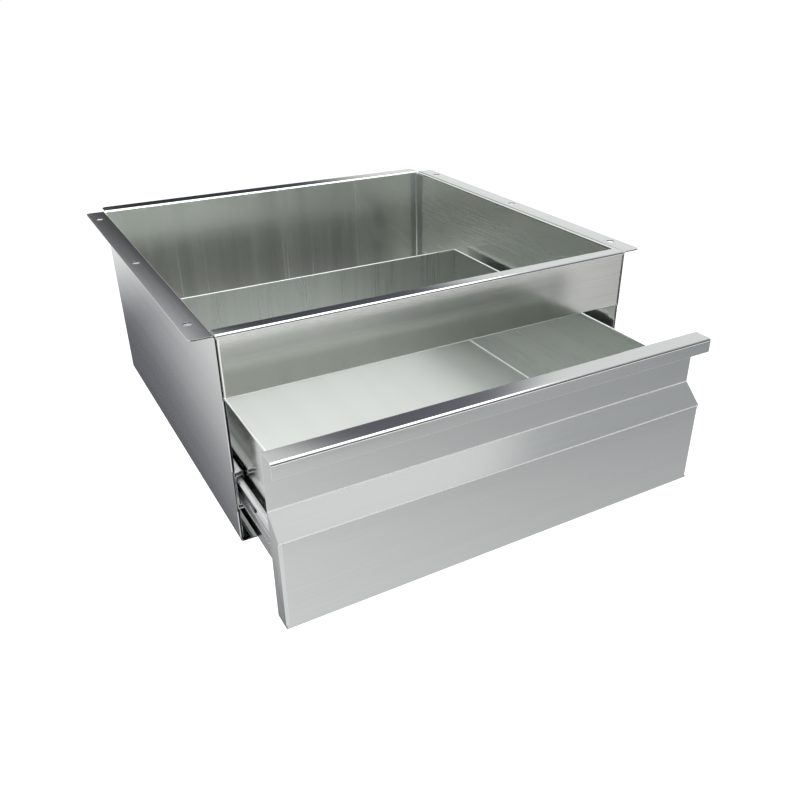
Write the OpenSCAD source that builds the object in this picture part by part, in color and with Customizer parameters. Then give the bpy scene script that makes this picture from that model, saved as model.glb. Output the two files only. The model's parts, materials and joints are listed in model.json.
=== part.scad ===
// Stainless steel drawer unit that hangs under a worktop.
// A folded sheet housing with top flanges carries a drawer on two telescopic ball runners.
// The origin is the centre of the flange holes, on the flanges' top face: X right, Y back, Z up.
// The drawer stands partly open, as far as open_at_rest says.

/* [Housing] */
// Width over the outer faces of the two side panels
house_w = 500; // [400:1:640]
// Depth from the front rail's face to the back panel's rear face
house_d = 496; // [450:1:600]
// Height from the flanges' top face to the bottom edge
house_h = 237; // [220:1:300]
// Thickness of the housing's sheet
sheet_t = 1.2; // [1:0.1:1.6]
// Inside radius of the folds
fold_r = 1.8; // [1:0.1:2.6]
// Reach of the side flanges beyond the side panels
flange_w = 24; // [20:1:40]
// Radius of the flanges' free corners
flange_corner_r = 6; // [2:0.5:9]
// Diameter of the fixing holes
hole_d = 9; // [6:0.5:11]
// Distance of the end holes from the ends of the housing
hole_inset = 40; // [25:1:90]
// Distance of the hole centres from the side flanges' outer edge
hole_edge = 11; // [8:0.5:12]
// Reach of the back flange behind the back panel
back_flange_w = 21; // [14:1:40]
// Distance that the side panels stop short of the back panel's rear face
side_short = 3.2; // [2:0.1:6]
// Reach of the inward folds along the bottom edges
base_fold = 17; // [10:1:22]
// Height of the front rail's face
rail_h = 67; // [50:1:80]
// Depth of the front rail's top flange
rail_flange = 15.5; // [10:0.5:30]
// Depth of the welded end tabs on the front rail and back panel
tab_d = 20; // [10:1:30]
// Gap between the two leaves of a hemmed edge on the housing
hem_gap = 0.8; // [0.4:0.1:1.2]
// Length of the folded leaf behind a hem
hem_leaf = 11; // [6:0.5:14]

/* [Drawer] */
// Thickness of the tray's sheet
tray_t = 1; // [0.8:0.1:1.5]
// Gap inside the tray's rolled top edge
tray_hem_gap = 0.6; // [0.4:0.1:1.4]
// Drop from the front rail's lower edge to the tray's top edge
tray_drop = 24; // [12:1:30]
// Rise of the tray's underside above the housing's bottom edge
tray_rise = 9; // [6:0.5:14]
// Free space behind the tray when the drawer is shut
tray_behind = 25; // [18:1:60]
// Length of the tabs that join the tray's end walls to its floor
tray_tab = 15; // [8:1:25]
// How far the drawer is open in the modelled position
open_at_rest = 116; // [20:1:250]

/* [Drawer front] */
// Overhang of the drawer front beyond each side panel
front_over = 5; // [2:0.5:15]
// Height by which the drawer front covers the front rail
front_lap = 7.5; // [6.6:0.1:14]
// Drop of the drawer front below the housing
front_drop = 5.5; // [0:0.5:20]
// Depth of the drawer front from its lip to its rear face
front_d = 24; // [20:0.5:34]
// Height of the lip at the top
lip_h = 16; // [8:0.5:22]
// Height from the top of the drawer front to the top of the slope
grip_h = 62; // [50:1:70]
// Height of the slope
slope_h = 21; // [12:1:30]
// Gap between the shut drawer front and the housing
shut_gap = 2; // [1.5:0.1:4]

/* [Runners] */
// Length of a runner when it is shut
runner_len = 350; // [310:5:400]
// Space that a runner takes between side panel and tray
runner_w = 12.7; // [12.7:0.1:13.6]
// Height of the outer runner profile
runner_h = 45; // [43:0.5:48]
// Thickness of the runner's sheet
runner_t = 1.2; // [1:0.05:1.3]
// Inside radius of the runner's folds
runner_r = 1; // [0.6:0.1:1.1]
// Height of the runner's middle above the tray's underside
runner_up = 54; // [35:1:70]
// Distance of the outer runner's end from the housing's front
runner_set = 1.5; // [0.5:0.1:4]
// Distance of the middle profile's front end from the outer one's when shut
mid_set = 58; // [50:1:70]
// Length of the stop behind the middle profile
stop_len = 9; // [6:0.5:14]
// Depth of the outer profile from its back to its lips
outer_deep = 10.6; // [10.4:0.1:10.8]
// Length of the lips that hold the balls
race_lip = 4.1; // [3:0.1:4.2]
// Diameter of the balls
ball_d = 3.2; // [2.8:0.1:3.3]
// Number of balls in one row
ball_n = 7; // [4:1:9]
// Length of a ball cage
cage_len = 110; // [90:1:112]
// Thickness of a ball cage
cage_t = 1; // [0.8:0.1:1.2]
// Length of the turned-in edges of the inner profile
inner_lip = 2.6; // [2.3:0.1:3]
// Half height of the inner profile's middle, which stands out to the tray
joggle_h = 6; // [5.6:0.1:6.4]
// Diameter of the weld studs
stud_d = 3.8; // [3:0.1:4]
// Diameter of the sunk heads of the outer studs
stud_head_d = 6; // [5:0.1:7]
// Diameter of the holes that reach the outer studs through the middle profile
reach_d = 7.5; // [6.5:0.1:9]
// Width across the flats of the stud nuts
nut_w = 7; // [6:0.1:7.5]
// Height of the stud nuts
nut_h = 2.1; // [1.6:0.1:2.2]
// Distance of the end studs from the runner's ends
stud_inset = 37; // [25:1:45]
// Length of the release lever in front of its pivot
lever_len = 60; // [40:1:70]
// Width of the release lever
lever_w = 6; // [4:0.5:7]
// Thickness of the release lever
lever_t = 2.2; // [1.6:0.1:2.3]
// Radius of the release lever's boss
boss_r = 5; // [4.4:0.1:6]

/* [Hidden] */

// Facets of one fold, and the fineness of round holes and balls
fold_steps = 5;
fine = 48;
// Gap between pieces that are joined face to face but keep their own surfaces
seam = 0.1;
// Play of a stud in its hole, of a nut on its stud and of a ball in its race
hole_play = 0.15;
thread_play = 0.05;
ball_play = 0.05;
// Clearance between parts that slide past each other
slide_play = 0.4;
cage_play = 0.3;
// Inside radius of a rolled edge as a share of its gap
roll_share = 0.4;
// Room between the middle profile's lips and the tray
lip_room = 1.3;
// Length by which a cutting shape reaches past what it cuts
past = 1;
// Angle of a folded corner
square_turn = 90;
hex_sides = 6;

// The housing's outer radius of a fold, and its main planes
fold_out = fold_r + sheet_t;
hem_w = 2 * sheet_t + hem_gap;
hem_r = roll_share * hem_gap;
x_side = -house_w / 2;
x_in = x_side + sheet_t;
y_front = -house_d / 2;
y_back = house_d / 2;
y_side_end = y_back - side_short;
hole_x = -x_side + flange_w - hole_edge;
hole_y = house_d / 2 - hole_inset;

// The tray's and drawer front's main planes, the last with the drawer shut
x_wall = x_in + runner_w;
z_tray_top = -rail_h - tray_drop;
z_tray_base = -house_h + tray_rise;
y_shut = y_front - shut_gap;
tray_d = y_back - sheet_t - tray_behind - y_shut;
tray_leaf = 10;
tray_hem_w = 2 * tray_t + tray_hem_gap;
tray_hem_r = roll_share * tray_hem_gap;
x_face = x_side - front_over;
z_front_top = -rail_h + front_lap;
z_front_base = -house_h - front_drop;
z_slope_top = z_front_top - grip_h;
z_slope_base = z_slope_top - slope_h;
slope_turn = atan2(front_d - sheet_t, slope_h);

// The runner's levels, from the side panel's inner face towards the tray
z_run = z_tray_base + runner_up;
y_run = y_front + runner_set;
y_stop = y_run + runner_len - stop_len;
y_mid = y_run + mid_set;
mid_len = y_stop - cage_play - y_mid;
y_inner = y_front;
ball_r = ball_d / 2;
row_gap = ball_d + 2 * ball_play;
mid_h = runner_h - 2 * (runner_t + row_gap);
inner_h = mid_h - 2 * (runner_t + row_gap);
mid_back = runner_t + cage_play;
mid_deep = runner_w - lip_room;
inner_back = mid_back + runner_t + slide_play;
inner_deep = mid_deep - runner_t - cage_play;
outer_row_u = outer_deep / 2;
inner_row_u = (inner_back + inner_deep) / 2;
outer_row_v = runner_h / 2 - runner_t - row_gap / 2;
inner_row_v = mid_h / 2 - runner_t - row_gap / 2;
ball_pitch = (cage_len - 2 * ball_d) / ball_n;
// Middles of the ball cages with the drawer shut, so that they stay between their profiles
y_outer_cage = (y_run + y_mid + mid_len) / 2;
y_inner_cage = (y_mid + y_inner + runner_len) / 2;
stud_r = stud_d / 2;
stud_len = runner_t + nut_h + thread_play;
stud_ys = [stud_inset, runner_len / 2, runner_len - stud_inset];
sink = runner_t - 0.4;
stop_w = 20;
stop_deep = inner_back - slide_play - runner_t;
pivot_y = y_inner + runner_len / 2 - stud_inset;
pivot_r = 1.5;
rivet_head_r = 2.6;
rivet_head_t = 0.5;
tip_w = 9;
tip_len = 10;
lever_u = inner_deep - runner_t - slide_play - lever_t;
boss_len = runner_w - runner_t - slide_play - lever_u;

// Unit vector from point a to point b
function dir(a, b) = (b - a) / norm(b - a);
// The vector to the left of a direction, and a vector turned by an angle
function left_of(d) = [-d[1], d[0]];
function turned(v, a) = [v[0] * cos(a) - v[1] * sin(a), v[0] * sin(a) + v[1] * cos(a)];
// Signed angle by which a path turns from direction a to direction b
function turn(a, b) = atan2(a[0] * b[1] - a[1] * b[0], a * b);
// The fold's own inside radius, where the folds of one sheet differ
function fold_at(r, i) = is_list(r) ? r[i - 1] : r;

// Arc of points that a fold at p1 gives the sheet's face that lies off to the path's left
function fold_arc(p0, p1, p2, r, t, off) =
  let (d = dir(p0, p1), a = turn(d, dir(p1, p2)), s = sign(a), face_r = s > 0 ? r + t : r,
       centre = p1 - d * face_r * tan(abs(a) / 2) + s * face_r * left_of(d))
  [for (k = [0:fold_steps]) centre - s * (face_r - s * off) * turned(left_of(d), a * k / fold_steps)];

// One face of a folded sheet that follows the corners p
function sheet_face(p, r, t, off) =
  let (n = len(p) - 1)
  [for (i = [0:n])
    each i == 0 ? [p[0] + off * left_of(dir(p[0], p[1]))]
       : i == n ? [p[n] + off * left_of(dir(p[n - 1], p[n]))]
       : fold_arc(p[i - 1], p[i], p[i + 1], fold_at(r, i), t, off)];
function reversed(v) = [for (i = [len(v) - 1:-1:0]) v[i]];

// Section of a folded sheet: p are the corners of one face, and the sheet lies to the path's left
module sheet(p, r, t) {
  polygon(concat(sheet_face(p, r, t, 0), reversed(sheet_face(p, r, t, t))));
}

// A section drawn in X and Z, drawn out from y0 to y1
module along_y(y0, y1) {
  translate([0, y1, 0]) rotate([90, 0, 0]) linear_extrude(y1 - y0) children();
}

// A section drawn in Y and Z, drawn out from x0 to x1
module along_x(x0, x1) {
  translate([x0, 0, 0]) rotate([90, 0, 90]) linear_extrude(x1 - x0) children();
}

// A plan drawn in X and Y, drawn up from z0 to z1
module along_z(z0, z1) {
  translate([0, 0, z0]) linear_extrude(z1 - z0) children();
}

// A round bar or hole along X
module bar_x(x0, x1, y, z, r) {
  translate([x0, y, z]) rotate([0, 90, 0]) cylinder(h = x1 - x0, r = r, $fn = fine);
}

// Quarter arc of points about a centre, for rounded corners
function quarter(c, r, a0) = [for (k = [0:fold_steps]) c + r * [cos(a0 + square_turn * k / fold_steps),
                                                              sin(a0 + square_turn * k / fold_steps)]];

// Plan of the side panel with its flange's two rounded corners
module side_plan() {
  x_edge = x_side - flange_w;
  r = flange_corner_r;
  polygon(concat(
    [[x_in + base_fold + past, y_front], [x_in + base_fold + past, y_side_end]],
    quarter([x_edge + r, y_side_end - r], r, 90),
    quarter([x_edge + r, y_front + r], r, 180)));
}

// The two heights between which the front hem runs, above and below the runner
hem_zones = [
  [-house_h + fold_out + 2 * past, z_run - runner_h / 2 - 2 * past],
  [z_run + runner_h / 2 + 2 * past, -rail_h - past]];

module side_panel() {
  color("silver") difference() {
    union() {
      intersection() {
        along_y(y_front, y_side_end)
          sheet([[x_in + base_fold, -house_h + sheet_t], [x_in, -house_h + sheet_t],
                 [x_in, 0], [x_side - flange_w, 0]], fold_r, sheet_t);
        difference() {
          along_z(-house_h - past, past) side_plan();
          for (z = hem_zones)
            along_z(z[0], z[1]) translate([x_side - past, y_front - past])
              square([sheet_t + 2 * past, hem_w / 2 + past]);
        }
      }
      for (z = hem_zones)
        along_z(z[0], z[1])
          sheet([[x_side, y_front + hem_w / 2 + past], [x_side, y_front],
                 [x_side + hem_w, y_front], [x_side + hem_w, y_front + hem_leaf]],
                hem_r, sheet_t);
    }
    for (y = [-hole_y, 0, hole_y])
      translate([-hole_x, y, -sheet_t - past])
        cylinder(h = sheet_t + 2 * past, d = hole_d, $fn = fine);
  }
}

module back_panel() {
  x_end = x_in + seam;
  y_face = y_back - sheet_t;
  r = flange_corner_r;
  top = [[y_back + back_flange_w, 0], [y_face, 0], [y_face, -fold_out - past]];
  color("silver") {
    intersection() {
      along_x(x_end, -x_end) sheet(top, fold_r, sheet_t);
      along_z(-house_h, past)
        polygon(concat([[-x_end, y_face - past]],
          quarter([-x_end - r, y_back + back_flange_w - r], r, 0),
          quarter([x_end + r, y_back + back_flange_w - r], r, 90), [[x_end, y_face - past]]));
    }
    along_x(x_end + fold_out, -x_end - fold_out)
      translate([y_face, -house_h + sheet_t + fold_r]) square([sheet_t, house_h - fold_out - 2 * past]);
    along_x(x_in + base_fold + past, -x_in - base_fold - past)
      sheet([[y_face, -house_h + fold_out + past], [y_face, -house_h + sheet_t],
             [y_face - base_fold, -house_h + sheet_t]], fold_r, sheet_t);
    for (side = [0, 1])
      mirror([side, 0, 0]) along_z(-house_h + sheet_t + fold_r, -fold_out - past / 2)
        sheet([[x_end + fold_out + past, y_back], [x_end, y_back], [x_end, y_back - tab_d]],
              fold_r, sheet_t);
  }
}

module front_rail() {
  x_end = x_in + seam;
  y_hem = y_front + hem_w;
  top = [[y_front + rail_flange, 0], [y_front, 0]];
  color("silver") {
    along_x(x_end, -x_end) sheet(concat(top, [[y_front, -fold_out - past]]), fold_r, sheet_t);
    along_x(x_end + fold_out, -x_end - fold_out)
      sheet(concat(top, [[y_front, -rail_h], [y_hem, -rail_h], [y_hem, -rail_h + hem_leaf]]),
            [fold_r, hem_r, hem_r], sheet_t);
    for (side = [0, 1])
      mirror([side, 0, 0]) along_z(-rail_h + hem_w / 2, -fold_out - past / 2)
        sheet([[x_end, y_front + tab_d], [x_end, y_front], [x_end + fold_out + past, y_front]],
              fold_r, sheet_t);
  }
}

// Section of a runner profile that opens towards the tray, between two depths
module runner_section(u0, u1, h) {
  sheet([[x_in + u1, z_run + h / 2 - race_lip], [x_in + u1, z_run + h / 2],
         [x_in + u0, z_run + h / 2], [x_in + u0, z_run - h / 2],
         [x_in + u1, z_run - h / 2], [x_in + u1, z_run - h / 2 + race_lip]], runner_r, runner_t);
}

module outer_runner() {
  color("gainsboro") difference() {
    along_y(y_run, y_run + runner_len) runner_section(0, outer_deep, runner_h);
    for (y = stud_ys) {
      bar_x(x_in - past, x_in + runner_t + past, y_run + y, z_run, stud_r + hole_play);
      translate([x_in + runner_t - sink, y_run + y, z_run])
        sunk_head(sink, stud_r + hole_play, stud_head_d / 2 + hole_play);
    }
  }
}

module mid_runner() {
  color("gainsboro") translate([0, -open_at_rest / 2, 0]) difference() {
    along_y(y_mid, y_mid + mid_len) runner_section(mid_back, mid_deep, mid_h);
    for (y = stud_ys)
      if (y > mid_set + reach_d)
        bar_x(x_in + mid_back - past, x_in + mid_back + runner_t + past, y_run + y, z_run, reach_d / 2);
  }
}

// The inner profile opens towards the side panel, and only its middle touches the tray
module inner_runner() {
  x_lip = x_in + inner_back;
  x_web = x_in + inner_deep;
  z_low = z_run - inner_h / 2;
  z_high = z_run + inner_h / 2;
  joggle_z = joggle_h + x_wall - x_web;
  color("gainsboro") translate([0, -open_at_rest, 0]) difference() {
    along_y(y_inner, y_inner + runner_len)
      sheet([[x_lip, z_low + inner_lip], [x_lip, z_low], [x_web, z_low],
             [x_web, z_run - joggle_z], [x_wall, z_run - joggle_h],
             [x_wall, z_run + joggle_h], [x_web, z_run + joggle_z],
             [x_web, z_high], [x_lip, z_high], [x_lip, z_high - inner_lip]], runner_r, runner_t);
    for (y = stud_ys)
      bar_x(x_wall - runner_t - past, x_wall + past, y_inner + y, z_run, stud_r + hole_play);
    bar_x(x_wall - runner_t - past, x_wall + past, pivot_y, z_run, pivot_r + thread_play);
  }
}

// Cone along X that widens from r0 to r1
module sunk_head(h, r0, r1) {
  rotate([0, 90, 0]) cylinder(h = h, r1 = r0, r2 = r1, $fn = fine);
}

// Weld studs on the side panel, with their ends spread into the runner's sunk holes
module outer_studs() {
  color("darkgray") for (y = stud_ys) {
    bar_x(x_in, x_in + runner_t - sink, y_run + y, z_run, stud_r);
    translate([x_in + runner_t - sink, y_run + y, z_run]) sunk_head(sink, stud_r, stud_head_d / 2);
  }
}

module inner_studs() {
  color("darkgray") for (y = stud_ys)
    bar_x(x_wall - stud_len, x_wall, y_inner - open_at_rest + y, z_run, stud_r);
}

// Thin nuts that hold the inner profile on its studs
module inner_nuts() {
  x0 = x_wall - runner_t - nut_h;
  color("dimgray") for (y = stud_ys) translate([0, y_inner - open_at_rest + y, 0]) difference() {
    translate([x0, 0, z_run]) rotate([0, 90, 0])
      cylinder(h = nut_h, r = nut_w / 2 / cos(180 / hex_sides), $fn = hex_sides);
    bar_x(x0 - past, x0 + nut_h + past, 0, z_run, stud_r + thread_play);
  }
}

module rear_stop() {
  color([0.12, 0.12, 0.13]) translate([x_in + runner_t, y_stop, z_run - stop_w / 2])
    cube([stop_deep, stop_len, stop_w]);
}

// The two strips of one ball cage, above and below the runner's middle
module cage(u, v, y_cage, u0, u1) {
  color("lightgray") for (side = [-1, 1]) difference() {
    translate([x_in + u0, y_cage - cage_len / 2, z_run + side * v - cage_t / 2])
      cube([u1 - u0, cage_len, cage_t]);
    for (i = [0:ball_n - 1])
      translate([x_in + u, y_cage + (i - (ball_n - 1) / 2) * ball_pitch, z_run + side * v - past])
        cylinder(h = 2 * past, r = ball_r + thread_play, $fn = fine);
  }
}

module balls(u, v, y_cage) {
  color("white") for (side = [-1, 1], i = [0:ball_n - 1])
    translate([x_in + u, y_cage + (i - (ball_n - 1) / 2) * ball_pitch, z_run + side * v])
      sphere(r = ball_r, $fn = fine / 2);
}

module outer_cage() {
  translate([0, -open_at_rest / 4, 0])
    cage(outer_row_u, outer_row_v, y_outer_cage, mid_back, outer_deep - runner_t - cage_play);
}

module outer_balls() {
  translate([0, -open_at_rest / 4, 0]) balls(outer_row_u, outer_row_v, y_outer_cage);
}

module inner_cage() {
  translate([0, -open_at_rest * 3 / 4, 0])
    cage(inner_row_u, inner_row_v, y_inner_cage, mid_back + runner_t + cage_play, inner_deep);
}

module inner_balls() {
  translate([0, -open_at_rest * 3 / 4, 0]) balls(inner_row_u, inner_row_v, y_inner_cage);
}

// Lever that frees the drawer from its runner, with a finger tip at its front end and a long boss
module release_lever() {
  color([0.12, 0.12, 0.13]) translate([x_in + lever_u, -open_at_rest, 0]) difference() {
    union() {
      bar_x(0, boss_len, pivot_y, z_run, boss_r);
      along_x(0, lever_t) {
        translate([pivot_y - lever_len, z_run - lever_w / 2]) square([lever_len, lever_w]);
        translate([pivot_y - lever_len, z_run - tip_w / 2]) square([tip_len, tip_w]);
      }
    }
    bar_x(-past, boss_len + past, pivot_y, z_run, pivot_r + thread_play);
  }
}

module lever_rivet() {
  x_head = x_in + lever_u - thread_play - rivet_head_t;
  color("darkgray") translate([0, -open_at_rest, 0]) {
    bar_x(x_head, x_wall, pivot_y, z_run, pivot_r);
    bar_x(x_head, x_head + rivet_head_t, pivot_y, z_run, rivet_head_r);
  }
}

// Floor and side walls of the tray, with rolled top edges
module drawer_tray() {
  x_leaf = x_wall + tray_hem_w;
  z_leaf = z_tray_top - tray_leaf;
  color("gainsboro") translate([0, -open_at_rest, 0])
    along_y(y_shut + tray_t + seam, y_shut + tray_d - tray_t - seam)
      sheet([[x_leaf, z_leaf], [x_leaf, z_tray_top], [x_wall, z_tray_top],
             [x_wall, z_tray_base], [-x_wall, z_tray_base],
             [-x_wall, z_tray_top], [-x_leaf, z_tray_top], [-x_leaf, z_leaf]],
            [tray_hem_r, tray_hem_r, fold_r, fold_r, tray_hem_r, tray_hem_r], tray_t);
}

// End wall of the tray, drawn as the front one: a tab on the floor, the wall and a rolled edge
module end_wall() {
  z_tab = z_tray_base + tray_t + seam;
  x_tab = x_wall + fold_r + tray_t + past;
  x_roll = x_wall + tray_hem_w + seam;
  along_x(x_tab, -x_tab)
    sheet([[0, z_tab + fold_r + 2 * tray_t + past], [0, z_tab], [tray_tab, z_tab]], fold_r, tray_t);
  along_x(x_wall, -x_wall)
    translate([0, z_tab + fold_r + tray_t])
      square([tray_t, z_tray_top - tray_hem_w - z_tab - fold_r - tray_t]);
  along_x(x_roll, -x_roll)
    sheet([[tray_hem_w, z_tray_top - tray_leaf], [tray_hem_w, z_tray_top],
           [0, z_tray_top], [0, z_tray_top - 2 * tray_hem_w]], tray_hem_r, tray_t);
}

module tray_front_wall() {
  color("gainsboro") translate([0, y_shut - open_at_rest, 0]) end_wall();
}

module tray_back_wall() {
  color("gainsboro") translate([0, y_shut + tray_d - open_at_rest, 0]) mirror([0, 1, 0]) end_wall();
}

// Lip, top strip, recess, slope, face and bottom fold in one sheet, with folded ends
module drawer_front() {
  t = sheet_t;
  inset = t * tan(slope_turn / 2);
  x_fold = x_face + fold_out;
  z_fold_low = z_front_base + fold_out + past;
  z_fold_high = z_slope_base - past;
  color("silver") translate([0, y_shut - seam - open_at_rest, 0]) {
    difference() {
      along_x(x_face, -x_face)
        sheet([[0, z_front_base + t], [-front_d + t, z_front_base + t],
               [-front_d + t, z_slope_base - inset], [0, z_slope_top - inset],
               [0, z_front_top], [-front_d, z_front_top], [-front_d, z_front_top - lip_h]],
              fold_r, t);
      for (side = [0, 1])
        mirror([side, 0, 0]) along_z(z_fold_low, z_fold_high)
          translate([x_face - past, -front_d - past]) square([fold_out + past, fold_out + past]);
    }
    for (side = [0, 1]) mirror([side, 0, 0]) {
      along_z(z_fold_low, z_fold_high)
        sheet([[x_face, -fold_out], [x_face, -front_d], [x_fold + past, -front_d]], fold_r, t);
      along_x(x_face, x_face + t)
        polygon([[0, z_front_base + t / 2], [0, z_slope_top - inset],
                 [-front_d + fold_out, z_slope_base - inset + (fold_out - t) / tan(slope_turn)],
                 [-front_d + fold_out, z_front_base + t / 2]]);
    }
  }
}

module right() {
  mirror([1, 0, 0]) children();
}

side_panel();  // left_side_panel
right() side_panel();  // right_side_panel
back_panel();
front_rail();
outer_runner();  // left_outer_runner
right() outer_runner();  // right_outer_runner
outer_studs();  // left_outer_studs
right() outer_studs();  // right_outer_studs
rear_stop();  // left_rear_stop
right() rear_stop();  // right_rear_stop
outer_cage();  // left_outer_cage
right() outer_cage();  // right_outer_cage
outer_balls();  // left_outer_balls
right() outer_balls();  // right_outer_balls
mid_runner();  // left_mid_runner
right() mid_runner();  // right_mid_runner
inner_cage();  // left_inner_cage
right() inner_cage();  // right_inner_cage
inner_balls();  // left_inner_balls
right() inner_balls();  // right_inner_balls
inner_runner();  // left_inner_runner
right() inner_runner();  // right_inner_runner
inner_studs();  // left_inner_studs
right() inner_studs();  // right_inner_studs
inner_nuts();  // left_inner_nuts
right() inner_nuts();  // right_inner_nuts
release_lever();  // left_release_lever
right() release_lever();  // right_release_lever
lever_rivet();  // left_lever_rivet
right() lever_rivet();  // right_lever_rivet
drawer_tray();
tray_front_wall();
tray_back_wall();
drawer_front();
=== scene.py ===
# %% [markdown]
# # A stainless steel drawer that hangs under a worktop
#
# This lesson dresses a drawer unit for a product picture. The solids are already there, as a frame of
# CAD nodes at their real size: a folded housing with drilled flanges, a drawer with a folded grip front,
# and two telescopic ball runners. Blender adds what the eye reads as steel: broken edges, smooth folds,
# the grain of the brushed sheet, and a small studio for the metal to mirror.

# %% Load the frame
import json
from math import cos, pi, radians, sin, tan

import bpy
from mathutils import Matrix, Vector

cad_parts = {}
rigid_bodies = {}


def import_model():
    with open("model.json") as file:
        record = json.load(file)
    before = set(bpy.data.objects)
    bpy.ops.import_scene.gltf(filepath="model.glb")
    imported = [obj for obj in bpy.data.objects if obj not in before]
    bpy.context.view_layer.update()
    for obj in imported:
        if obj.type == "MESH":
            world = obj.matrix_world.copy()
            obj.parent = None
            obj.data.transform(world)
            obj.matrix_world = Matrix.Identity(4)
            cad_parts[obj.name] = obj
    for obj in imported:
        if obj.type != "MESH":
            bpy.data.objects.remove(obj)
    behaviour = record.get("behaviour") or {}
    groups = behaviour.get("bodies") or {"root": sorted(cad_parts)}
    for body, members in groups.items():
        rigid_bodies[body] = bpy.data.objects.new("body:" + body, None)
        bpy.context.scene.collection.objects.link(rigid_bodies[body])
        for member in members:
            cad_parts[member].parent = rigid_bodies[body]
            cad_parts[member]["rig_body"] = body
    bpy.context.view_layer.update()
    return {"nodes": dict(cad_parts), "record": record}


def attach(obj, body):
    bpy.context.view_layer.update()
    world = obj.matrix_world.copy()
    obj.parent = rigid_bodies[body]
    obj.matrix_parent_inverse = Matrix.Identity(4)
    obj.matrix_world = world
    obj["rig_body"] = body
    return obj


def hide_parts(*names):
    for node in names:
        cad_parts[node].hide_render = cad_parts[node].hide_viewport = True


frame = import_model()
mm = 0.001
print("CAD nodes:", len(frame["nodes"]))

# %% [markdown]
# ## The camera
#
# The picture is taken from the front left and from above, with a lens about as long as the sensor is
# wide. The picture's centre doesn't lie on the lens axis, which a little shift puts right.

# %% Place the camera
# Place in metres, turn in radians, lens in millimetres, shift in sensor widths
CAMERA_PLACE = (-0.4275, -0.9339, 0.2984)
CAMERA_TURN = (1.06388, -0.00118, -0.52619)
CAMERA_LENS = 36.34
CAMERA_SHIFT = (-0.0278, 0.0161)


def place_camera():
    data = bpy.data.cameras.new("picture_camera")
    data.lens = CAMERA_LENS
    data.shift_x, data.shift_y = CAMERA_SHIFT
    camera = bpy.data.objects.new("picture_camera", data)
    camera.location = CAMERA_PLACE
    camera.rotation_euler = CAMERA_TURN
    bpy.context.collection.objects.link(camera)
    bpy.context.scene.camera = camera
    return camera


camera = place_camera()
# Standard shows each colour as it is written
bpy.context.scene.view_settings.view_transform = "Standard"
print(f"{camera.name}: lens {camera.data.lens:.1f} mm, {camera.location.length:.2f} m from the origin")

# %% [markdown]
# ## The studio
#
# Bare steel has hardly a colour of its own: it shows what stands round it. So the studio is white all
# round for every ray that is seen, directly or in a mirror image, while the light that falls on the
# drawer stays at a plain level. The Light Path node tells the two kinds of ray apart. The next cells
# make the helpers for shader nodes, which every material uses, and then the white room itself.

# %% Helpers for shader nodes
def new_material(name):
    material = bpy.data.materials.new(name)
    material.use_nodes = True
    material.node_tree.nodes.clear()
    return material


def add_node(tree, kind, **settings):
    node = tree.nodes.new(kind)
    for key, value in settings.items():
        setattr(node, key, value)
    return node


def sum_of(tree, outputs):
    """One value that adds up several outputs."""
    total = outputs[0]
    for other in outputs[1:]:
        add = add_node(tree, "ShaderNodeMath", operation="ADD", use_clamp=True)
        tree.links.new(total, add.inputs[0])
        tree.links.new(other, add.inputs[1])
        total = add.outputs[0]
    return total


def seen_rays(tree):
    """A value of 1 for rays of the camera, of mirror images and through glass, and 0 for the rest."""
    path = add_node(tree, "ShaderNodeLightPath")
    kinds = ("Is Camera Ray", "Is Glossy Ray", "Is Transmission Ray")
    return sum_of(tree, [path.outputs[kind] for kind in kinds])


# %% The white surroundings
WORLD_LIGHT = 0.45


def set_world():
    world = bpy.data.worlds.new("white_room")
    bpy.context.scene.world = world
    world.use_nodes = True
    tree = world.node_tree
    tree.nodes.clear()
    light = add_node(tree, "ShaderNodeBackground")
    light.inputs["Color"].default_value = (1, 1, 1, 1)
    light.inputs["Strength"].default_value = WORLD_LIGHT
    white = add_node(tree, "ShaderNodeBackground")
    white.inputs["Color"].default_value = (1, 1, 1, 1)
    mix = add_node(tree, "ShaderNodeMixShader")
    output = add_node(tree, "ShaderNodeOutputWorld")
    tree.links.new(seen_rays(tree), mix.inputs[0])
    tree.links.new(light.outputs[0], mix.inputs[1])
    tree.links.new(white.outputs[0], mix.inputs[2])
    tree.links.new(mix.outputs[0], output.inputs[0])


set_world()
print("Surroundings: strength", WORLD_LIGHT, "as light, white when they are seen")

# %% [markdown]
# ## The floor
#
# A product picture is taken on paper that is lit to white, with only a soft shadow left. A plain diffuse
# plane takes the shadow. A glow that only seen rays meet lifts it to white, so that the glow adds no
# light to the steel. Mirror images leave the plane out: they show the white room and the cards instead.

# %% The floor
FLOOR_DROP = 0.9
FLOOR_SIZE = 60
FLOOR_WHITE = 0.9
FLOOR_LIFT = 0.65


def make_floor():
    bpy.ops.mesh.primitive_plane_add(size=FLOOR_SIZE, location=(0, 0, -FLOOR_DROP))
    floor = bpy.context.object
    floor.name = "studio_floor"
    material = new_material("studio_floor")
    tree = material.node_tree
    diffuse = add_node(tree, "ShaderNodeBsdfDiffuse")
    diffuse.inputs["Color"].default_value = (FLOOR_WHITE, FLOOR_WHITE, FLOOR_WHITE, 1)
    lift = add_node(tree, "ShaderNodeEmission")
    strength = add_node(tree, "ShaderNodeMath", operation="MULTIPLY")
    strength.inputs[1].default_value = FLOOR_LIFT
    add = add_node(tree, "ShaderNodeAddShader")
    output = add_node(tree, "ShaderNodeOutputMaterial")
    tree.links.new(seen_rays(tree), strength.inputs[0])
    tree.links.new(strength.outputs[0], lift.inputs["Strength"])
    tree.links.new(diffuse.outputs[0], add.inputs[0])
    tree.links.new(lift.outputs[0], add.inputs[1])
    tree.links.new(add.outputs[0], output.inputs[0])
    floor.data.materials.append(material)
    floor.visible_glossy = False
    return floor


floor = make_floor()
print(f"{floor.name}: {-floor.location.z:.1f} m below the flanges")

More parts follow.
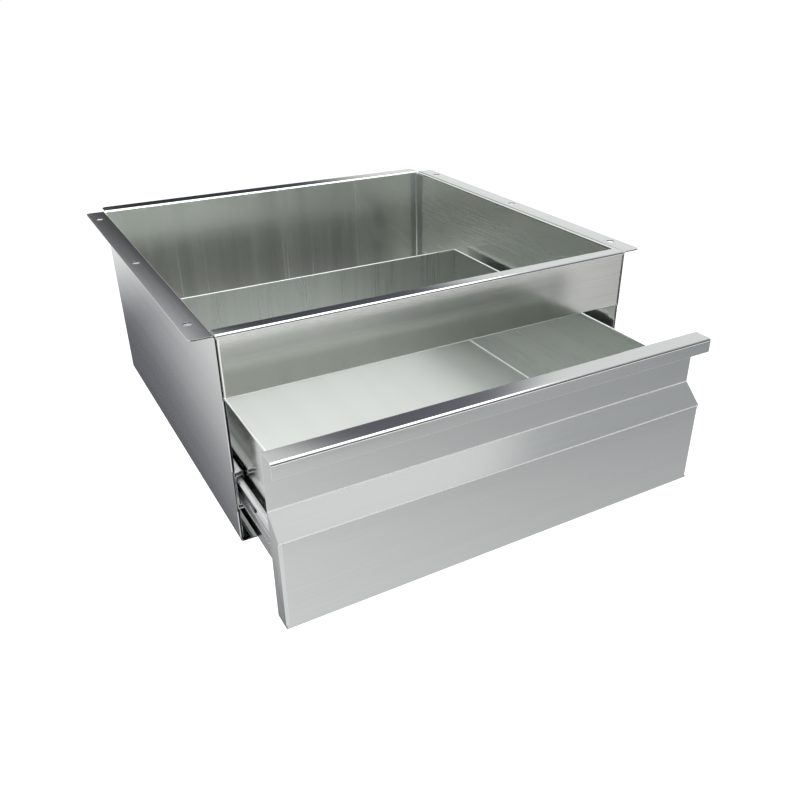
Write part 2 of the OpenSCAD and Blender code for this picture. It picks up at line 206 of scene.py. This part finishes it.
# %% [markdown]
# ## The cards
#
# A photographer darkens parts of a mirror image with grey and black boards. A card here is a plane that
# glows with its own tone, which runs from its lower to its upper edge, and fades out at its sides. Only
# mirror images show it, so the cards give the steel its broad bands and throw no shadow. A card that
# stands a little nearer than the others covers them, as the glow for the rail does.

# %% The cards
CARD_DISTANCE = 4.0
GLOW_DISTANCE = 3.6
MIDDLE = Vector((0, -0.07, -0.12))
# Half the side of the plane that each card starts as
HALF = 0.5


def heading(azimuth, elevation):
    """The direction at an azimuth from the back towards the right, and an elevation, in degrees."""
    a, e = radians(azimuth), radians(elevation)
    return Vector((sin(a) * cos(e), cos(a) * cos(e), sin(e)))


def faded_edges(tree, split, soft):
    """A mask that is 1 in the middle of a card and goes down to 0 at its four sides."""
    mask = add_node(tree, "ShaderNodeMath", operation="MULTIPLY")
    for axis, part in enumerate(soft):
        off_middle = add_node(tree, "ShaderNodeMath", operation="ABSOLUTE")
        tree.links.new(split.outputs[axis], off_middle.inputs[0])
        edge = add_node(tree, "ShaderNodeMapRange", interpolation_type="SMOOTHSTEP")
        edge.inputs["From Min"].default_value = HALF
        edge.inputs["From Max"].default_value = HALF - part
        tree.links.new(off_middle.outputs[0], edge.inputs["Value"])
        tree.links.new(edge.outputs[0], mask.inputs[axis])
    return mask.outputs[0]


def card_paint(name, low, high, soft):
    """A glow whose tone runs from the lower edge to the upper one, and which is clear at its sides."""
    material = new_material(name)
    tree = material.node_tree
    place = add_node(tree, "ShaderNodeTexCoord")
    split = add_node(tree, "ShaderNodeSeparateXYZ")
    tree.links.new(place.outputs["Object"], split.inputs[0])
    up = add_node(tree, "ShaderNodeMapRange")
    up.inputs["From Min"].default_value = -HALF
    up.inputs["From Max"].default_value = HALF
    tree.links.new(split.outputs[1], up.inputs["Value"])
    tone = add_node(tree, "ShaderNodeMix", data_type="RGBA")
    tone.inputs["A"].default_value = (*low, 1)
    tone.inputs["B"].default_value = (*high, 1)
    tree.links.new(up.outputs[0], tone.inputs["Factor"])
    clear = add_node(tree, "ShaderNodeBsdfTransparent")
    glow = add_node(tree, "ShaderNodeEmission")
    tree.links.new(tone.outputs["Result"], glow.inputs["Color"])
    mix = add_node(tree, "ShaderNodeMixShader")
    output = add_node(tree, "ShaderNodeOutputMaterial")
    tree.links.new(faded_edges(tree, split, soft), mix.inputs[0])
    tree.links.new(clear.outputs[0], mix.inputs[1])
    tree.links.new(glow.outputs[0], mix.inputs[2])
    tree.links.new(mix.outputs[0], output.inputs[0])
    return material


def card(name, azimuth, elevation, width, height, turn, low, high, soft, distance=CARD_DISTANCE):
    """A card that only mirror images show.

    Its place, size and turn are in degrees, as seen from the middle of the drawer. Its tone runs from
    low to high, and soft gives the shares of its width and height over which each side fades."""
    direction = heading(azimuth, elevation)
    wide, tall = (2 * distance * tan(radians(angle / 2)) for angle in (width, height))
    bpy.ops.mesh.primitive_plane_add(size=2 * HALF)
    plane = bpy.context.object
    plane.name = name
    plane.scale = (wide, tall, 1)
    plane.rotation_euler = (direction.to_track_quat("Z", "Y") @
                            Matrix.Rotation(radians(turn), 4, "Z").to_quaternion()).to_euler()
    plane.location = MIDDLE + direction * distance
    plane.data.materials.append(card_paint(name, low, high, soft))
    for ray in ("camera", "diffuse", "transmission", "volume_scatter", "shadow"):
        setattr(plane, "visible_" + ray, False)
    print(f"{name}: {wide:.2f} by {tall:.2f} m")
    return plane


# %% Set the cards up
# Tones of the cards, from white to black, the dark ones a little blue as in a studio by daylight
WHITE = (1.0, 1.0, 1.0)
PALE = (0.57, 0.58, 0.59)
GREY = (0.36, 0.36, 0.37)
DIM = (0.26, 0.27, 0.28)
SHADE = (0.17, 0.17, 0.21)
SLATE = (0.12, 0.12, 0.145)
INK = (0.04, 0.04, 0.055)
NIGHT = (0.004, 0.004, 0.006)
card("card_back_dark", azimuth=20.3, elevation=22.9, width=24.2, height=43, turn=44,
     low=NIGHT, high=SHADE, soft=(0.24, 0.10))
card("card_low_left", azimuth=-8.0, elevation=-36.1, width=28.7, height=43.9, turn=13,
     low=INK, high=SLATE, soft=(0.27, 0.18))
card("card_front_low", azimuth=126.4, elevation=-29.4, width=100, height=35.5, turn=18.8,
     low=WHITE, high=DIM, soft=(0.50, 0.07))
card("card_low_right", azimuth=30, elevation=-26, width=34, height=34, turn=0,
     low=SLATE, high=SLATE, soft=(0.15, 0.15))
card("card_rail_glow", azimuth=161, elevation=-16, width=60, height=22, turn=0,
     low=WHITE, high=WHITE, soft=(0.40, 0.40), distance=GLOW_DISTANCE)
card("card_front_right", azimuth=137, elevation=12.4, width=100, height=54, turn=35.4,
     low=GREY, high=PALE, soft=(0.18, 0.05))

# %% [markdown]
# ## The soft box
#
# One large lamp hangs over the drawer, a little to the right. It lights the inside of the tray, and a
# fold whose round looks up somewhere mirrors it as a white line.

# %% The soft box
BOX_SIZE = (2.2, 1.6)
BOX_PLACE = Vector((0.35, -0.1, 1.7))
BOX_GLOW = 2.6


def soft_box(name, place, size, glow, aim):
    """An area lamp whose face shines with a radiance of glow, where 1 is white."""
    data = bpy.data.lights.new(name, "AREA")
    data.shape = "RECTANGLE"
    data.size, data.size_y = size
    data.energy = glow * pi * size[0] * size[1]
    lamp = bpy.data.objects.new(name, data)
    lamp.location = place
    lamp.rotation_euler = (Vector(place) - Vector(aim)).to_track_quat("Z", "Y").to_euler()
    bpy.context.collection.objects.link(lamp)
    return lamp


lamp = soft_box("soft_box", BOX_PLACE, BOX_SIZE, BOX_GLOW, MIDDLE)
print(f"Soft box of {BOX_SIZE[0]} by {BOX_SIZE[1]} m with {lamp.data.energy:.0f} W")

# %% [markdown]
# ## Steel with a grain
#
# Brushed sheet carries fine parallel scratches from the grinding belt. They stretch a highlight across
# the grain, and they vary gloss and tone from streak to streak. Wider clouds show where the belt pressed
# more. One node group makes streaks and clouds from noise that is stretched along the grain. Each sheet
# takes it with its own direction, because a sheet is cut and folded with its grain running one way.

# %% The grain group
# Each noise has a scale, a number of finer layers and the roughness of those layers
FINE_NOISE = (1.0, 3.0, 0.6)
COARSE_NOISE = (0.4, 3.0, 0.55)
CLOUD_NOISE = (0.035, 3.0, 0.5)
# The part of the noise that is spread over 0 to 1
STREAK_RANGE = (0.35, 0.65)
CLOUD_RANGE = (0.40, 0.62)


def make_grain_group():
    """Streaks and clouds from the place on the piece, in units of the finest streak, and a seed."""
    tree = bpy.data.node_groups.new("brushed_grain", "ShaderNodeTree")
    for name, way, kind in (("Place", "INPUT", "Vector"), ("Seed", "INPUT", "Float"),
                            ("Streak", "OUTPUT", "Float"), ("Cloud", "OUTPUT", "Float")):
        tree.interface.new_socket(name=name, in_out=way, socket_type="NodeSocket" + kind)
    start = add_node(tree, "NodeGroupInput")
    end = add_node(tree, "NodeGroupOutput")

    def noise(scale, detail, rough):
        """Noise whose scale counts in the finest streaks."""
        node = add_node(tree, "ShaderNodeTexNoise", noise_dimensions="4D")
        node.inputs["Scale"].default_value = scale
        node.inputs["Detail"].default_value = detail
        node.inputs["Roughness"].default_value = rough
        tree.links.new(start.outputs["Place"], node.inputs["Vector"])
        tree.links.new(start.outputs["Seed"], node.inputs["W"])
        return node.outputs["Fac"]

    def put_out(output, value, low, high, shape):
        """Spreads a narrow range of values over 0 to 1, and puts it out."""
        spread = add_node(tree, "ShaderNodeMapRange", interpolation_type=shape)
        spread.inputs["From Min"].default_value = low
        spread.inputs["From Max"].default_value = high
        tree.links.new(value, spread.inputs["Value"])
        tree.links.new(spread.outputs[0], end.inputs[output])

    both = add_node(tree, "ShaderNodeMath", operation="ADD")
    tree.links.new(noise(*FINE_NOISE), both.inputs[0])
    tree.links.new(noise(*COARSE_NOISE), both.inputs[1])
    mean = add_node(tree, "ShaderNodeMath", operation="MULTIPLY")
    mean.inputs[1].default_value = 0.5
    tree.links.new(both.outputs[0], mean.inputs[0])
    put_out("Streak", mean.outputs[0], *STREAK_RANGE, shape="LINEAR")
    put_out("Cloud", noise(*CLOUD_NOISE), *CLOUD_RANGE, shape="SMOOTHSTEP")
    return tree


grain_group = make_grain_group()
print("Grain group with", len(grain_group.nodes), "nodes")

# %% [markdown]
# ## From a pattern to a surface
#
# All surfaces of the drawer are made alike. A pattern runs the colour between two tones and the
# roughness between two values, so that a lighter streak or spot is also a duller one. A height gives the
# surface its relief, with a Bump node. What is the same all over, such as Metallic, is set on the shader
# itself. One function does this for brushed steel, polished balls and plastic.

# %% Tone, gloss and relief from a pattern
def shade_by(material, pattern, height, tones, gloss_range, depth, metal):
    """Gives a material its shader and returns that.

    tones are a light and a dark colour, gloss_range is the roughness where the pattern is dark and
    where it is light, and depth is how high the relief stands, in metres."""
    tree = material.node_tree
    light, dark = tones
    colour = add_node(tree, "ShaderNodeMix", data_type="RGBA")
    colour.inputs["A"].default_value = (*dark, 1)
    colour.inputs["B"].default_value = (*light, 1)
    tree.links.new(pattern, colour.inputs["Factor"])
    gloss = add_node(tree, "ShaderNodeMapRange")
    gloss.inputs["To Min"].default_value, gloss.inputs["To Max"].default_value = gloss_range
    tree.links.new(pattern, gloss.inputs["Value"])
    bump = add_node(tree, "ShaderNodeBump")
    bump.inputs["Distance"].default_value = depth
    tree.links.new(height, bump.inputs["Height"])
    shader = add_node(tree, "ShaderNodeBsdfPrincipled")
    shader.inputs["Metallic"].default_value = metal
    output = add_node(tree, "ShaderNodeOutputMaterial")
    tree.links.new(colour.outputs["Result"], shader.inputs["Base Color"])
    tree.links.new(gloss.outputs[0], shader.inputs["Roughness"])
    tree.links.new(bump.outputs[0], shader.inputs["Normal"])
    tree.links.new(shader.outputs[0], output.inputs[0])
    return shader


# %% [markdown]
# ## Brushed steel
#
# Each steel lays the group's streaks along an axis of the unit: 1100 of them side by side in a metre,
# and each about as long as a hand is wide. Streaks and clouds together run tone and gloss. The streaks
# also stand up by a thousandth of a millimetre or less, which is enough to unsettle a mirror image. The
# Tangent lies along the grain, and Anisotropic stretches the highlights across it, as on real sheet.

# %% The grain of a piece
# Streaks in a metre, across the grain and along it
GRAIN_FINE = 1100
GRAIN_LONG = 9
AXES = {"x": 0, "y": 1, "z": 2}


def grain_along(tree, along, seed):
    """The group's node, with its streaks along one axis or two."""
    place = add_node(tree, "ShaderNodeTexCoord")
    across = add_node(tree, "ShaderNodeMapping")
    scale = [GRAIN_FINE] * 3
    for axis in along:
        scale[AXES[axis]] = GRAIN_LONG
    across.inputs["Scale"].default_value = scale
    grain = add_node(tree, "ShaderNodeGroup", node_tree=grain_group)
    grain.inputs["Seed"].default_value = seed
    tree.links.new(place.outputs["Object"], across.inputs["Vector"])
    tree.links.new(across.outputs[0], grain.inputs["Place"])
    return grain


# %% Brushed steel
CLOUD_PART = 0.35
GRAIN_STRETCH = 0.55


def clouds_and_streaks(tree, grain):
    """Both patterns of the group in one, with the clouds as the smaller part."""
    streaks = add_node(tree, "ShaderNodeMath", operation="MULTIPLY")
    streaks.inputs[1].default_value = 1 - CLOUD_PART
    tree.links.new(grain.outputs["Streak"], streaks.inputs[0])
    both = add_node(tree, "ShaderNodeMath", operation="MULTIPLY_ADD")
    both.inputs[1].default_value = CLOUD_PART
    tree.links.new(grain.outputs["Cloud"], both.inputs[0])
    tree.links.new(streaks.outputs[0], both.inputs[2])
    return both.outputs[0]


def brushed_steel(name, along, tones, gloss_range, depth, seed, stretch=GRAIN_STRETCH):
    """Steel with its grain along one axis, or two where the sheet is folded from one to the other."""
    material = new_material(name)
    tree = material.node_tree
    grain = grain_along(tree, along, seed)
    steel = shade_by(material, clouds_and_streaks(tree, grain), grain.outputs["Streak"], tones,
                     gloss_range, depth, metal=1.0)
    steel.inputs["Anisotropic"].default_value = stretch
    way = add_node(tree, "ShaderNodeCombineXYZ")
    way.inputs[AXES[along[0]]].default_value = 1.0
    tree.links.new(way.outputs[0], steel.inputs["Tangent"])
    print(name, "with its grain along", along[0])
    return material


# %% [markdown]
# ## One steel, many tones
#
# The whole unit is one kind of stainless steel, yet its faces look very different in a picture. The
# outer faces are shiny, so that they mirror the cards with clear edges, and the tray's floor is dull.
# The panels inside the housing and both faces of the rail take lighter colours than the steel, as
# painted
# light: they mirror each other, and a mirror image of a mirror image loses light twice, which the
# lighter colour makes up. Other colours below are painted shade and painted highlights on edges, holes
# and folds.
# So each finish has a pair of colours, for its light and its dark streaks, and a pair of roughness
# values, for its dark and its light streaks.

# %% Tones
SHEET_TONE = (0.635, 0.655, 0.640), (0.585, 0.605, 0.590)
FRONT_TONE = (0.630, 0.645, 0.640), (0.590, 0.610, 0.600)
WALL_TONE = (0.55, 0.575, 0.545), (0.465, 0.49, 0.46)
# Painted shade: a dark tone for the back of the tray's back wall, which the back panel mirrors
SHADED_TONE = (0.26, 0.27, 0.25), (0.20, 0.21, 0.19)
# Painted light: the rail and the inner faces of the panels take tones lighter than the steel
RAIL_PAINTED_LIGHT_TONE = (0.88, 0.88, 0.85), (0.82, 0.82, 0.79)
SIDE_PAINTED_LIGHT_TONE = (0.88, 0.91, 0.87), (0.84, 0.87, 0.83)
FLOOR_TONE = (0.62, 0.64, 0.625), (0.60, 0.62, 0.605)
# Painted light: the back panel's inner face takes a tone lighter than the steel
BACK_PAINTED_LIGHT_TONE = (0.91, 0.94, 0.90), (0.83, 0.86, 0.82)
# Painted highlight and painted dark reflection: the tones of single fold facets
PAINTED_HIGHLIGHT_TONE = (0.98, 0.98, 0.97), (0.94, 0.94, 0.93)
PAINTED_DARK_REFLECTION_TONE = (0.11, 0.11, 0.13), (0.08, 0.08, 0.10)
# Painted shade: near black, for the walls of the holes and the front edges of the side panels
PAINTED_SHADE_TONE = (0.03, 0.03, 0.04), (0.02, 0.02, 0.03)
ROLLED_TONE = (0.60, 0.61, 0.62), (0.54, 0.55, 0.56)
# Painted light: a lighter tone for the runner faces that look up and for the tray's rim and corners
PAINTED_LIGHT_TOP_TONE = (0.88, 0.89, 0.90), (0.80, 0.81, 0.82)
CAGE_TONE = (0.50, 0.51, 0.52), (0.42, 0.43, 0.44)
TURNED_TONE = (0.52, 0.53, 0.54), (0.44, 0.45, 0.46)

# %% Gloss and depth
SHEET_GLOSS = (0.09, 0.11)
SLICK_GLOSS = (0.11, 0.15)
FRONT_GLOSS = (0.12, 0.16)
ROLLED_GLOSS = (0.13, 0.19)
RAIL_GLOSS = (0.17, 0.24)
BACK_GLOSS = (0.21, 0.28)
WALL_GLOSS = (0.24, 0.36)
SIDE_GLOSS = (0.25, 0.29)
TURNED_GLOSS = (0.25, 0.36)
CAGE_GLOSS = (0.28, 0.40)
PAINTED_SHADE_GLOSS = (0.40, 0.50)
INSIDE_GLOSS = (0.44, 0.50)
FOLD_GLOSS = (0.45, 0.55)
FLOOR_GLOSS = (0.46, 0.48)

GRAIN_DEPTH = 0.001 * mm
FINE_DEPTH = 0.0004 * mm
TURNED_STRETCH = 0.2

# %% The steel of the outer faces
sheet_x = brushed_steel("brushed_sheet_x", "x", FRONT_TONE, SHEET_GLOSS, FINE_DEPTH, seed=1.0)
sheet_y = brushed_steel("brushed_sheet_y", "y", FRONT_TONE, SHEET_GLOSS, FINE_DEPTH, seed=2.0)
sheet_z = brushed_steel("brushed_sheet_z", "zy", SHEET_TONE, SHEET_GLOSS, GRAIN_DEPTH, seed=3.0)
front_x = brushed_steel("brushed_front_x", "x", FRONT_TONE, FRONT_GLOSS, FINE_DEPTH, seed=6.0)
# Painted light: the face of the rail takes a lighter tone than the steel
rail_x = brushed_steel("brushed_rail_x", "x", RAIL_PAINTED_LIGHT_TONE, RAIL_GLOSS, FINE_DEPTH, seed=1.7)
# Painted highlights and painted dark reflections on single facets of the folds
painted_highlight_x = brushed_steel("bright_fold_x", "x", PAINTED_HIGHLIGHT_TONE, FOLD_GLOSS, FINE_DEPTH, seed=1.9)
dark_reflection_x = brushed_steel("shaded_fold_x", "x", PAINTED_DARK_REFLECTION_TONE, WALL_GLOSS, FINE_DEPTH, seed=2.1)
dark_reflection_y = brushed_steel("shaded_fold_y", "y", PAINTED_DARK_REFLECTION_TONE, WALL_GLOSS, FINE_DEPTH, seed=2.3)
# Painted shade for the walls of the holes and the front edges of the side panels
painted_shade_z = brushed_steel("dark_seam", "z", PAINTED_SHADE_TONE, PAINTED_SHADE_GLOSS, GRAIN_DEPTH, seed=3.5)

# %% The steel of the inner faces
# Painted light: the rail's back face, the back panel and the inner faces of the side panels are lighter
# than the steel
inside_x = brushed_steel("brushed_inside_x", "x", SIDE_PAINTED_LIGHT_TONE, INSIDE_GLOSS, GRAIN_DEPTH, seed=1.5)
inside_y = brushed_steel("brushed_inside_y", "y", FLOOR_TONE, FLOOR_GLOSS, GRAIN_DEPTH, seed=4.0)
inside_z = brushed_steel("brushed_inside_z", "zy", WALL_TONE, WALL_GLOSS, GRAIN_DEPTH, seed=5.0)
back_z = brushed_steel("brushed_back_z", "zy", BACK_PAINTED_LIGHT_TONE, BACK_GLOSS, GRAIN_DEPTH, seed=5.5)
# Painted shade on the back of the tray's back wall
shaded_z = brushed_steel("shaded_steel_z", "zy", SHADED_TONE, WALL_GLOSS, GRAIN_DEPTH, seed=5.7)
side_y = brushed_steel("brushed_side_y", "y", SIDE_PAINTED_LIGHT_TONE, SIDE_GLOSS, GRAIN_DEPTH, seed=4.2)
wall_y = brushed_steel("brushed_wall_y", "y", WALL_TONE, WALL_GLOSS, GRAIN_DEPTH, seed=4.3)
gap_y = brushed_steel("brushed_gap_y", "y", SHEET_TONE, SLICK_GLOSS, FINE_DEPTH, seed=4.5)

# %% The steel of the runners
rolled = brushed_steel("rolled_runner_steel", "y", ROLLED_TONE, ROLLED_GLOSS, FINE_DEPTH, seed=7.0)
# Painted light on the faces that look up, and a painted highlight on the tray's rim and corners
painted_light_top = brushed_steel("rolled_runner_top", "y", PAINTED_LIGHT_TOP_TONE, FOLD_GLOSS, GRAIN_DEPTH, seed=7.5)
cage_steel = brushed_steel("rolled_cage_steel", "y", CAGE_TONE, CAGE_GLOSS, GRAIN_DEPTH, seed=8.0)
turned = brushed_steel("turned_fastener_steel", "x", TURNED_TONE, TURNED_GLOSS, GRAIN_DEPTH, seed=9.0,
                       stretch=TURNED_STRETCH)

# %% [markdown]
# ## Balls and black plastic
#
# The balls are polished, and the release levers and rear stops are moulded from black plastic. Neither
# has a grain, so one fine and even noise varies tone, gloss and relief a little.

# %% Polished balls and black plastic
PLAIN_DETAIL = 4
CHROME_TONE = (0.80, 0.80, 0.80), (0.70, 0.70, 0.71)
CHROME_GLOSS = (0.06, 0.14)
CHROME_GRAIN = 1.0 * mm
CHROME_DEPTH = 0.0005 * mm
BLACK_TONE = (0.035, 0.035, 0.038), (0.02, 0.02, 0.022)
BLACK_GLOSS = (0.42, 0.58)
BLACK_GRAIN = 0.5 * mm
BLACK_DEPTH = 0.01 * mm


def plain_surface(name, tones, metal, gloss_range, size, depth):
    """A surface with no grain, whose noise has grains of a size in metres."""
    material = new_material(name)
    tree = material.node_tree
    place = add_node(tree, "ShaderNodeTexCoord")
    noise = add_node(tree, "ShaderNodeTexNoise")
    noise.inputs["Scale"].default_value = 1 / size
    noise.inputs["Detail"].default_value = PLAIN_DETAIL
    tree.links.new(place.outputs["Object"], noise.inputs["Vector"])
    pattern = noise.outputs["Fac"]
    shade_by(material, pattern, pattern, tones, gloss_range, depth, metal)
    print(name)
    return material


ball_chrome = plain_surface("polished_balls", CHROME_TONE, metal=1.0, gloss_range=CHROME_GLOSS,
                            size=CHROME_GRAIN, depth=CHROME_DEPTH)
black_plastic = plain_surface("moulded_black_plastic", BLACK_TONE, metal=0.0, gloss_range=BLACK_GLOSS,
                              size=BLACK_GRAIN, depth=BLACK_DEPTH)

# %% [markdown]
# ## Sheets with broken edges
#
# A cut sheet never ends in a knife edge: the shear and the belt leave a tiny round, and that round is
# what draws a fine bright line along every rim in a picture of sheet metal. The solids have sharp
# edges, so each sheet is copied, its loose triangles are merged, its flat faces are joined, and a Bevel
# breaks the edges. A Weighted Normal then keeps the flats flat while the folds shade as smooth rounds.

# %% Copy a solid and break its edges
def deselect_all():
    bpy.ops.object.select_all(action="DESELECT")


def make_active(piece):
    deselect_all()
    piece.select_set(True)
    bpy.context.view_layer.objects.active = piece


def apply_modifier(piece, kind, **settings):
    make_active(piece)
    modifier = piece.modifiers.new(kind.lower(), kind)
    for key, value in settings.items():
        setattr(modifier, key, value)
    bpy.ops.object.modifier_apply(modifier=modifier.name)


MERGE = 0.0005 * mm
FLAT = radians(0.5)
CUT_EDGE = radians(32)
SMOOTH = radians(40)
EDGE_STEPS = 2
# A face looks in a direction when the cosine of the angle between them is above this
LOOKS = 0.8


def slot_of(node):
    return next(part["material_slot"] for part in frame["record"]["subparts"] if part["node"] == node)


def paint(piece, material, wanted):
    """Gives a material to the faces that wanted picks, and returns how many they are."""
    if material.name not in piece.data.materials:
        piece.data.materials.append(material)
    index = piece.data.materials.find(material.name)
    faces = [face for face in piece.data.polygons if wanted(face)]
    for face in faces:
        face.material_index = index
    return len(faces)


def finished_copy(node, name, material, edge, *others):
    """A copy of a solid with its cut edges broken by edge, which takes the solid's place.

    Each of others is a material and the directions that its faces look in."""
    source = frame["nodes"][node]
    piece = bpy.data.objects.new(name, source.data.copy())
    bpy.context.collection.objects.link(piece)
    make_active(piece)
    bpy.ops.object.mode_set(mode="EDIT")
    bpy.ops.mesh.select_all(action="SELECT")
    bpy.ops.mesh.remove_doubles(threshold=MERGE)
    bpy.ops.mesh.dissolve_limited(angle_limit=FLAT)
    bpy.ops.object.mode_set(mode="OBJECT")
    apply_modifier(piece, "BEVEL", width=edge, segments=EDGE_STEPS, limit_method="ANGLE",
                   angle_limit=CUT_EDGE, use_clamp_overlap=False)
    bpy.ops.object.shade_smooth_by_angle(angle=SMOOTH)
    apply_modifier(piece, "WEIGHTED_NORMAL", keep_sharp=True)
    piece.data.materials.clear()
    piece.data.materials.append(material)
    for other, *ways in others:
        paint(piece, other, lambda face: any(face.normal.dot(way) > LOOKS for way in ways))
    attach(piece, source["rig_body"])
    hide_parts(node)
    print(name, len(piece.data.polygons), "faces")
    return piece


# %% [markdown]
# ## The sheets of the housing and the drawer
#
# Eight sheets make the housing and the drawer: two side panels, the back panel and the front rail, and
# the tray, its two end walls and the drawer front. Each takes one steel all over, and then other
# colours on the faces that look in given directions, such as the inner side of a side panel. Most of
# these are painted light or shade: lighter tones on the inner faces of the panels and on both faces of
# the rail, near black on the front edges of the side panels, a dark tone on the back of the tray's back
# wall, which the back panel mirrors, and a painted highlight on the rail's lower hem.

# %% The housing and the drawer
LEFT, RIGHT = Vector((-1, 0, 0)), Vector((1, 0, 0))
FRONT, BACK = Vector((0, -1, 0)), Vector((0, 1, 0))
UP, DOWN = Vector((0, 0, 1)), Vector((0, 0, -1))
FRONT_LOW = (FRONT + DOWN).normalized()
SHEET_EDGE = 0.2 * mm
SHEETS = {
    # The front edges of the side panels take near black painted shade
    "left_side_panel": (sheet_y, (side_y, RIGHT), (painted_shade_z, FRONT)),
    "right_side_panel": (sheet_y, (side_y, LEFT), (painted_shade_z, FRONT)),
    "back_panel": (sheet_z, (back_z, FRONT)),
    # The rail's lower hem takes a painted highlight
    "front_rail": (sheet_x, (rail_x, FRONT), (inside_x, BACK), (painted_highlight_x, FRONT_LOW, DOWN)),
    "drawer_tray": (inside_y,),
    "tray_front_wall": (inside_z,),
    # The back of the tray's back wall takes painted shade
    "tray_back_wall": (inside_z, (shaded_z, BACK)),
    "drawer_front": (front_x,)}
sheets = {node: finished_copy(node, node + "_sheet", steel, SHEET_EDGE, *others)
          for node, (steel, *others) in SHEETS.items()}

# %% [markdown]
# ## Lines along the folds
#
# In a picture each fold draws a thin bright line, and often a dark one beside it, where its round
# mirrors a lamp and the dark next to the lamp. The folds here are real rounds of five facets, so the
# lines could come from more lamps, but each lamp would change the flat faces too. Giving single facets
# a lighter or a darker colour paints the same lines, as a painted highlight and a painted dark
# reflection, and leaves the rest as it is.

# %% The lines
# For each sheet, the side that its painted lines are on, and each painted highlight or dark reflection
# with the heights in millimetres between which the middles of its facets lie
FOLD_LINES = {
    "left_side_panel": (RIGHT, (dark_reflection_y, (-3.0, -2.1))),
    "right_side_panel": (LEFT, (dark_reflection_y, (-3.0, -2.1))),
    "drawer_front": (
        FRONT,
        (painted_highlight_x, (-62.5, -61.6), (-75.5, -75.3), (-122.0, -120.7), (-143.3, -142.0)),
        (dark_reflection_x, (-61.6, -60.7))),
    "front_rail": (FRONT, (painted_highlight_x, (-3.0, -2.1)), (dark_reflection_x, (-2.1, -1.2)))}
TURNED_TO = 0.3
AT_CORNER = 0.1


def on_line(face, way, heights):
    """Whether a face lies at one of the heights and is turned to a side, but not round a corner."""
    at_height = any(low < face.center.z / mm < high for low, high in heights)
    at_corner = abs(face.normal.x * face.normal.y) >= AT_CORNER
    return at_height and face.normal.dot(way) > TURNED_TO and not at_corner


for node, (way, *lines) in FOLD_LINES.items():
    for steel, *heights in lines:
        count = paint(sheets[node], steel, lambda face: on_line(face, way, heights))
        print(node, steel.name, count, "faces")

# %% [markdown]
# ## The holes and the tray
#
# The wall of a hole mirrors only itself, so it takes a near black colour, which is painted shade. The
# tray's outer sides bound the narrow gap in which the runners lie: they are slick, so that the gap
# darkens by itself as its faces mirror each other. The tray's inner sides take the tone of its end
# walls. Its rim and its bottom corners take a light colour, a painted highlight for the light lines
# that the rolled rim and the inner folds draw.

# %% The walls of the holes
HOLE_MARGIN = 1.0 * mm
UPRIGHT = 0.5
# The record's mounts say how far apart the four corner holes are, and the other two lie half-way
mounts = {mount["name"]: mount["dims"] for mount in frame["record"]["mounts"]}
corner_holes = mounts["bench_holes_corners"]
half_x, half_y = (corner_holes[key] / 2 * mm for key in ("spacing_x_mm", "spacing_y_mm"))
hole_reach = corner_holes["hole_r_mm"] * mm + HOLE_MARGIN
holes = [Vector((x, y)) for x in (-half_x, half_x) for y in (-half_y, 0, half_y)]


def in_hole(face):
    """Whether a face stands upright within reach of the middle of a hole."""
    nearest = min((face.center.xy - hole).length for hole in holes)
    return abs(face.normal.z) < UPRIGHT and nearest < hole_reach


# Near black painted shade on the walls of the holes
for node in ("left_side_panel", "right_side_panel"):
    print(node, paint(sheets[node], painted_shade_z, in_hole), "faces in holes")

# %% The faces of the tray
TRAY_RIM = -92.5 * mm
# How far the normal of a corner's facet points sideways, and how far up at least
CORNER_FROM, CORNER_TO = 0.15, 0.95
CORNER_UP = 0.1


def is_side(face):
    return abs(face.normal.x) > LOOKS


def looks_out(face):
    return face.normal.x * face.center.x > 0


def in_corner_or_rim(face):
    in_corner = CORNER_FROM < abs(face.normal.x) < CORNER_TO and face.normal.z > CORNER_UP
    return in_corner or not is_side(face) and face.center.z > TRAY_RIM


# The rim and the bottom corners take a light colour, a painted highlight
TRAY_FACES = (
    ("outer sides", gap_y, lambda face: is_side(face) and looks_out(face)),
    ("inner sides", wall_y, lambda face: is_side(face) and not looks_out(face)),
    ("rim and corners", painted_light_top, in_corner_or_rim))
for title, steel, wanted in TRAY_FACES:
    print(title, paint(sheets["drawer_tray"], steel, wanted), "faces")

# %% [markdown]
# ## The runner profiles
#
# A runner is three profiles that are rolled from strip and nest in each other. They are shinier than the
# sheets, with a finer edge, and the faces that look up are dull and take a light colour, which is
# painted light for the light that falls into the gap.

# %% The runner profiles
RUNNER_EDGE = 0.15 * mm
for side in ("left", "right"):
    for stage in ("outer", "mid", "inner"):
        node = f"{side}_{stage}_runner"
        # The faces that look up take a lighter colour, painted light
        finished_copy(node, node + "_profile", rolled, RUNNER_EDGE, (painted_light_top, UP))

# %% [markdown]
# ## The small parts
#
# Cages, balls, studs, nuts, rivets, levers and stops are small and mostly hidden, and their solids have
# their full shape. They stay as they are and only take a material, by the slot that the record gives.

# %% The small parts inside the runners
FINISHES = {
    "cage_steel": cage_steel, "ball_steel": ball_chrome, "fastener_steel": turned,
    "black_plastic": black_plastic}
for node, solid in frame["nodes"].items():
    finish = FINISHES.get(slot_of(node))
    if finish is not None:
        solid.data.materials.clear()
        solid.data.materials.append(finish)
        print(node, finish.name)
